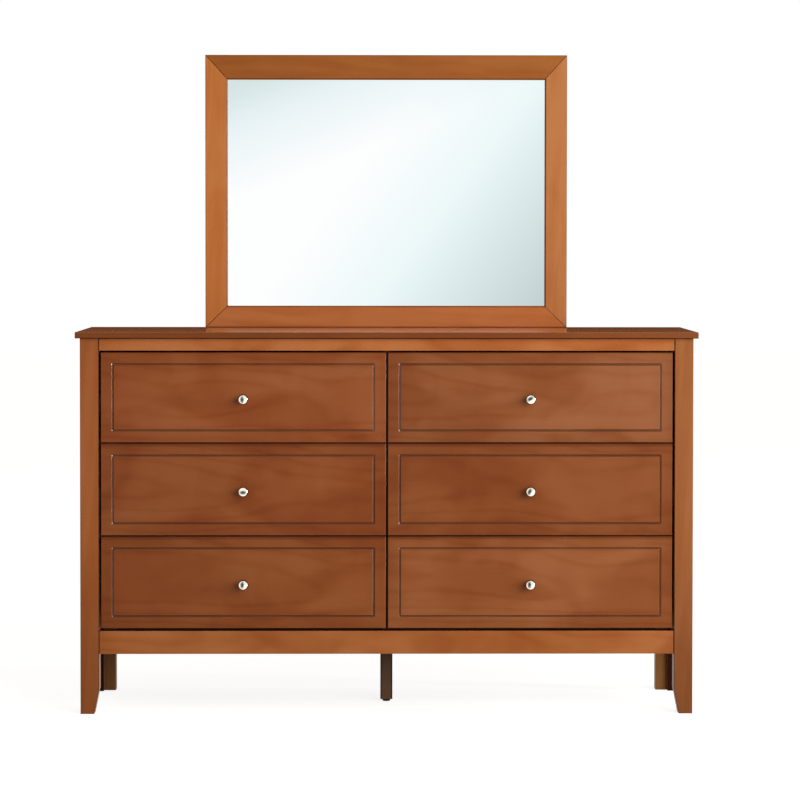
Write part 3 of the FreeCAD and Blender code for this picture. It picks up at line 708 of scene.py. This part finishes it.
# Stoved enamel is a thick black skin with a soft gloss and a faint orange peel
enamel, tree = new_material("black_stoved_enamel")
place = add(tree, "ShaderNodeTexCoord").outputs["Object"]
peel = add(tree, "ShaderNodeTexNoise", {"Vector": place, "Scale": 1 / ENAMEL_PEEL, "Detail": 1.0})
skin = add(tree, "ShaderNodeBump", {"Height": peel, "Strength": 0.1, "Distance": 0.1 * MM})
baked = add(tree, "ShaderNodeBsdfPrincipled", {"Base Color": linear(ENAMEL_COLOUR), "Roughness": 0.42,
                                               "IOR": 1.5, "Normal": skin})
add(tree, "ShaderNodeOutputMaterial", {"Surface": baked})
paint("cabinet_runners", enamel)
case_places, case_facings = [], []
for drawer in DRAWERS:
    paint(drawer + "_runners", enamel)
    runner_low, runner_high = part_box(drawer + "_runners")
    box_low, box_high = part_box(drawer + "_sides")
    case_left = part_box("cabinet_runners")[0].x if "left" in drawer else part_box("centre_partition")[1].x
    case_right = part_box("centre_partition")[0].x if "left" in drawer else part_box("cabinet_runners")[1].x
    level = (runner_low.z + runner_high.z) / 2
    places, facings = [], []
    for share in SCREWS_ALONG:
        along = runner_low.y + share * (runner_high.y - runner_low.y)
        places += [(box_low.x - RUNNER_METAL, along, level), (box_high.x + RUNNER_METAL, along, level)]
        facings += [(-1, 0, 0), (1, 0, 0)]
        case_places += [(case_left + RUNNER_METAL, along, level), (case_right - RUNNER_METAL, along, level)]
        case_facings += [(1, 0, 0), (-1, 0, 0)]
    grow(drawer + "_runner_screws", screw_heads, SCREW_VALUES, drawer, places, facings)
grow("cabinet_runner_screws", screw_heads, SCREW_VALUES, "case", case_places, case_facings)

# The drawer boxes are pale birch, sealed but not stained, with hardboard bottoms in grooves.
# The grain of the sides runs from front to back, and that of the back runs across.
BOX_STAIN = "#cfad80"
BOX_BOARDS = 30
BOX_PITH = 70 * MM
SEALED = (0.42, 0.55, 0.4)
bottom_board = hardboard("pressed_hardboard_bottom")
for board, drawer in enumerate(DRAWERS, BOX_BOARDS):
    for part, turn in (("_sides", ALONG_Y), ("_back", ALONG_X)):
        node = drawer + part
        wood = stained_birch("sealed_birch_" + node, BOX_STAIN, pith_behind(node, BOX_PITH), turn, board,
                             SEALED)
        dress(node, wood)
    paint(drawer + "_bottom", bottom_board)

# The drawer fronts are flat-sawn birch, each from another board, stained redder than the rails. A V-groove
# is cut round each field, with its walls stained darker, partly as painted shade; the stain is toned a
# little darker outside it, and a painted shadow darkens the upper edge, further down on the two lower rows.
FRONT_STAINS = {"top_left_drawer": "#8f4d27", "top_right_drawer": "#8c502c",
                "middle_left_drawer": "#874721", "middle_right_drawer": "#844620",
                "bottom_left_drawer": "#874821", "bottom_right_drawer": "#8e5029"}
FRONT_BOARDS = 13
FRONT_PITH = 80 * MM
FRONT_EASING = 0.4 * MM
FRONT_SPRAY = (60 * MM, (0.87, 0.82, 0.74, 1.0))
UPPER_EDGE_SHADOW_REACH = {"top": 4 * MM, "middle": 11 * MM, "bottom": 11 * MM}
UPPER_EDGE_SHADOW_TINT = (0.58, 0.46, 0.32, 1.0)
GROOVE_STAIN_AND_SHADE = "#5a3016"
GROOVE_BOARD = 42
RUN_IN = (0.25, 0.33, 0.7)


def on_groove_wall(face):
    """True for the groove's walls, which slant back at 45 degrees."""
    margin = 0.1
    return abs(face.normal.y + math.sqrt(0.5)) < margin


# The groove's walls take a darker stain under glossier lacquer; the darkness is partly painted shade.
groove = stained_birch("thick_lacquer_and_painted_shade_in_groove", GROOVE_STAIN_AND_SHADE, (0, 0, 0), ALONG_X, GROOVE_BOARD, RUN_IN)
for board, (drawer, stain) in enumerate(FRONT_STAINS.items(), FRONT_BOARDS):
    node = drawer + "_front"
    low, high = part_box(node)
    reach = UPPER_EDGE_SHADOW_REACH[drawer.split("_")[0]]
    # A space that ends at the front's upper edge, with its other edges a metre away: painted shadow below
    # it
    shadow_below_upper_edge = (low - Vector((1, 1, 1)), high + Vector((1, 1, 0)), reach, UPPER_EDGE_SHADOW_TINT)
    wood = stained_birch("stained_birch_" + node, stain, pith_behind(node, FRONT_PITH), ALONG_X, board,
                         SATIN, [(low, high, *FRONT_SPRAY), shadow_below_upper_edge])
    dress(node, wood, FRONT_EASING, [(groove, on_groove_wall)])

# The knobs are turned brass with polished nickel plate, each held by a screw from inside.
# A round head sits on a slim neck and a small foot; the plate stays bright, but a painted reflection
# darkens a streak near the middle, and painted shade darkens the rim.
NICKEL_AND_REFLECTION_TONES = ((0.0, "#4b463a"), (0.55, "#a39d8f"), (1.0, "#f8f4e8"))
RIM_PAINTED_SHADE = "#54442f"
KNOB_PAINTED_REFLECTIONS = {               # turn in radians, then shifts across and up in millimetres
    "top_left_drawer": (0.0, -2, 0), "top_right_drawer": (1.0, -2, 2),
    "middle_left_drawer": (1.57, 0, -1), "middle_right_drawer": (0.4, -3, 1),
    "bottom_left_drawer": (0.1, -2, 1), "bottom_right_drawer": (0.0, -3, 1)}
KNOB_FOOT = 7.5 * MM
KNOB_FOOT_THICK = 2 * MM
KNOB_NECK = 5 * MM
KNOB_FILLET = 1 * MM
KNOB_HEAD_BACK = 16 * MM
KNOB_CROWN = 10 * MM
KNOB_RADIUS = 12.5 * MM
KNOB_BACK_ROUND = 3 * MM
CROWN_FULLNESS = 2.1           # 2 would be an ellipse
CROWN_STEPS = 16
BACK_STEPS = 6


def nickel(name, middle, streak):
    """Polished nickel, with a painted reflection that darkens a streak near the middle of the knob's face
    and painted shade round its rim.

    The streak is a turn and two shifts in millimetres, across and up."""
    streak_wide = 5.5 * MM
    streak_long = 10 * MM
    rim = (0.8, 0.92)          # shares of the knob's radius
    turn, across, up = streak
    material, tree = new_material(name)
    place = add(tree, "ShaderNodeTexCoord").outputs["Object"]
    streak_place = (middle[0] + across * MM, middle[1], middle[2] + up * MM)
    centred = add(tree, "ShaderNodeMapping", {"Vector": place, "Location": streak_place,
                                              "Rotation": (0, turn, 0)}, vector_type="TEXTURE")
    oval = add(tree, "ShaderNodeMapping", {"Vector": centred,
                                           "Scale": (1 / streak_wide, 0, 1 / streak_long)})
    away = add(tree, "ShaderNodeVectorMath", {0: oval}, operation="LENGTH").outputs["Value"]
    # Painted reflection: the colour darkens in a streak near the middle.
    painted_dark = add(tree, "ShaderNodeMapRange", {"Value": away, "From Min": 0.3, "From Max": 1.0})
    colour = add(tree, "ShaderNodeValToRGB", {"Fac": painted_dark})
    set_stops(colour, [(stop, linear(code)) for stop, code in NICKEL_AND_REFLECTION_TONES])
    disc = add(tree, "ShaderNodeMapping", {"Vector": place, "Location": middle,
                                           "Scale": (KNOB_RADIUS, 1, KNOB_RADIUS)}, vector_type="TEXTURE")
    face_place = add(tree, "ShaderNodeVectorMath", {0: disc, 1: (1, 0, 1)}, operation="MULTIPLY")
    out = add(tree, "ShaderNodeVectorMath", {0: face_place}, operation="LENGTH").outputs["Value"]
    # Painted shade: the colour darkens round the rim.
    near_rim = add(tree, "ShaderNodeMapRange", {"Value": out, "From Min": rim[0], "From Max": rim[1]})
    painted_rim_shade = add(tree, "ShaderNodeMix", {0: near_rim, 6: colour, 7: linear(RIM_PAINTED_SHADE)}, data_type="RGBA")
    plate = add(tree, "ShaderNodeBsdfPrincipled", {"Base Color": painted_rim_shade.outputs[2], "Metallic": 1.0,
                                                   "Roughness": 0.12})
    add(tree, "ShaderNodeOutputMaterial", {"Surface": plate})
    return material


for drawer, streak in KNOB_PAINTED_REFLECTIONS.items():
    low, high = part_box(drawer + "_knob")
    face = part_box(drawer + "_front")[0].y
    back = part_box(drawer + "_front")[1].y
    reach = face - low.y
    crown = []
    for step in range(CROWN_STEPS + 1):
        out = math.sin(step / CROWN_STEPS * math.pi / 2)
        crown.append((KNOB_RADIUS * out, reach - KNOB_CROWN
                      + KNOB_CROWN * (1 - out ** CROWN_FULLNESS) ** (1 / CROWN_FULLNESS)))
    round_back = []
    for step in range(BACK_STEPS + 1):
        angle = step / BACK_STEPS * math.pi / 2
        round_back.append((KNOB_RADIUS - KNOB_BACK_ROUND * (1 - math.cos(angle)),
                           KNOB_HEAD_BACK + KNOB_BACK_ROUND * (1 - math.sin(angle))))
    outline = crown + round_back + [
        (KNOB_NECK + KNOB_FILLET, KNOB_HEAD_BACK), (KNOB_NECK, KNOB_HEAD_BACK - KNOB_FILLET),
        (KNOB_NECK, 2 * KNOB_FOOT_THICK), (KNOB_FOOT, KNOB_FOOT_THICK), (KNOB_FOOT, 0), (0, 0)]
    middle = ((low.x + high.x) / 2, face, (low.z + high.z) / 2)
    knob = put(drawer + "_knob_turned", lathe(drawer + "_knob_turned", outline, middle, (0, -1, 0)))
    knob.data.materials.append(nickel("polished_nickel_painted_reflection_" + drawer, middle, streak))
    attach(knob, drawer)
    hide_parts(drawer + "_knob")
    screw_place = (middle[0], back, middle[2])
    grow(drawer + "_knob_screw", screw_heads, SCREW_VALUES, drawer, [screw_place], [(0, 1, 0)])

# The mirror frame is four flat members mitred at the corners, with a small bevel at the glass that is
# stained darker as painted shade at the sight edge.
# They are solid birch, with the grain along each member; stain has pooled in the mitres.
MIRROR_MEMBERS = {"mirror_top_rail": ("#9a5825", ALONG_X), "mirror_bottom_rail": ("#b46837", ALONG_X),
                  "mirror_left_stile": ("#be7138", ALONG_Z), "mirror_right_stile": ("#b16e3c", ALONG_Z)}
MIRROR_BOARDS = 19
MIRROR_PITH = 70 * MM
SIGHT_SHADE_STAIN = "#7d4319"
SIGHT_BOARD = 41
MIRROR_EASING = 1.3 * MM


def on_sight_bevel(face):
    """True for the bevel next to the glass, which faces the front and the glass alike; it is painted shade.
    """
    margin = 0.15
    return abs(face.normal.y + math.sqrt(0.5)) < margin


def on_mitre(face):
    """True for the eased edges and ends that slant both ways, as only the mitres do."""
    least = 0.15
    return min(abs(face.normal.x), abs(face.normal.z)) > least


# The bevel at the glass takes a darker stain as painted shade at the sight edge.
sight_shade = stained_birch("painted_shade_sight_bevel", SIGHT_SHADE_STAIN, (0, 0, 0), ALONG_X, SIGHT_BOARD)
for board, (node, (stain, turn)) in enumerate(MIRROR_MEMBERS.items(), MIRROR_BOARDS):
    wood = stained_birch("stained_birch_" + node, stain, pith_behind(node, MIRROR_PITH), turn, board,
                         figure=CALM)
    dress(node, wood, MIRROR_EASING, [(sight_shade, on_sight_bevel), (joint_stain_and_shade, on_mitre)])

# The glass lies in the frame's rebate: float glass with a silver coat on its back.
# It gives a clean reflection with a faint green tint, and wiping has left a trace of uneven haze.
SILVER_COLOUR = "#fdfefe"
WIPE_WIDE = 90 * MM
WIPE_HAZE = (0.004, 0.016)
silver, tree = new_material("silvered_float_glass")
place = add(tree, "ShaderNodeTexCoord").outputs["Object"]
wiped = add(tree, "ShaderNodeTexNoise", {"Vector": place, "Scale": 1 / WIPE_WIDE, "Detail": 3.0,
                                         "Distortion": 1.0})
trace = add(tree, "ShaderNodeMapRange", {"Value": wiped, "To Min": WIPE_HAZE[0], "To Max": WIPE_HAZE[1]})
coat = add(tree, "ShaderNodeBsdfPrincipled", {"Base Color": linear(SILVER_COLOUR), "Metallic": 1.0,
                                              "Roughness": trace})
add(tree, "ShaderNodeOutputMaterial", {"Surface": coat})
paint("mirror_glass", silver)

# A sheet of hardboard backs the glass, held by flat steel points driven into the rebate.
# The sheet is the same felted brown board as the back of the case, and the points are thin
# zinc-plated tabs that lie flat on it, pointing out into the frame.
POINT_SIZE = (6 * MM, 9 * MM, 0.6 * MM)
POINTS_ACROSS = (-0.375, -0.125, 0.125, 0.375)
POINTS_UP = (-1 / 3, 0, 1 / 3)

points_tree, given, made = new_tree("glazing_points", {
    "Point Size": "NodeSocketVector", "Place": "NodeSocketVector", "Material": "NodeSocketMaterial"})
tab = add(points_tree, "GeometryNodeMeshCube", {"Size": given.outputs["Point Size"]})
outward = add(points_tree, "GeometryNodeInputNamedAttribute", {"Name": "facing"}, data_type="FLOAT_VECTOR")
aimed = add(points_tree, "FunctionNodeAlignRotationToVector", {"Vector": outward}, axis="Y")
tabs = add(points_tree, "GeometryNodeInstanceOnPoints", {"Points": given.outputs["Points"],
                                                         "Instance": tab.outputs["Mesh"],
                                                         "Rotation": aimed})
loose = add(points_tree, "GeometryNodeRealizeInstances", {"Geometry": tabs})
driven = add(points_tree, "GeometryNodeTransform", {"Geometry": loose,
                                                    "Translation": given.outputs["Place"],
                                                    "Rotation": (-math.pi / 2, 0, 0)})
plated = add(points_tree, "GeometryNodeSetMaterial", {"Geometry": driven,
                                                      "Material": given.outputs["Material"]})
points_tree.links.new(plated.outputs[0], made.inputs["Pieces"])

paint("mirror_backing", hardboard("pressed_hardboard_mirror"))
low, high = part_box("mirror_backing")
width, height = high.x - low.x, high.z - low.z
places, facings = [], []
for way in (-1, 1):
    for share in POINTS_ACROSS:
        places.append((share * width, way * (height - POINT_SIZE[1]) / 2, 0))
        facings.append((0, way, 0))
    for share in POINTS_UP:
        places.append((way * (width - POINT_SIZE[1]) / 2, share * height, 0))
        facings.append((way, 0, 0))
grow("mirror_points", points_tree, {
    "Point Size": POINT_SIZE, "Place": (0, high.y + POINT_SIZE[2] / 2, (low.z + high.z) / 2),
    "Material": zinc}, "case", places, facings)

# Two plain bars behind the mirror hold it to the back of the case with zinc-plated screws.
# They are birch with a thin brown stain and no lacquer, with the grain upright.
SUPPORT_PITH = 60 * MM
SUPPORT_BOARD = 41
wood = stained_birch("brown_stained_birch_mirror_supports", FRAME_STAIN,
                     pith_behind("mirror_supports", SUPPORT_PITH), ALONG_Z, SUPPORT_BOARD, DULL)
dress("mirror_supports", wood)
paint("support_screws", zinc)
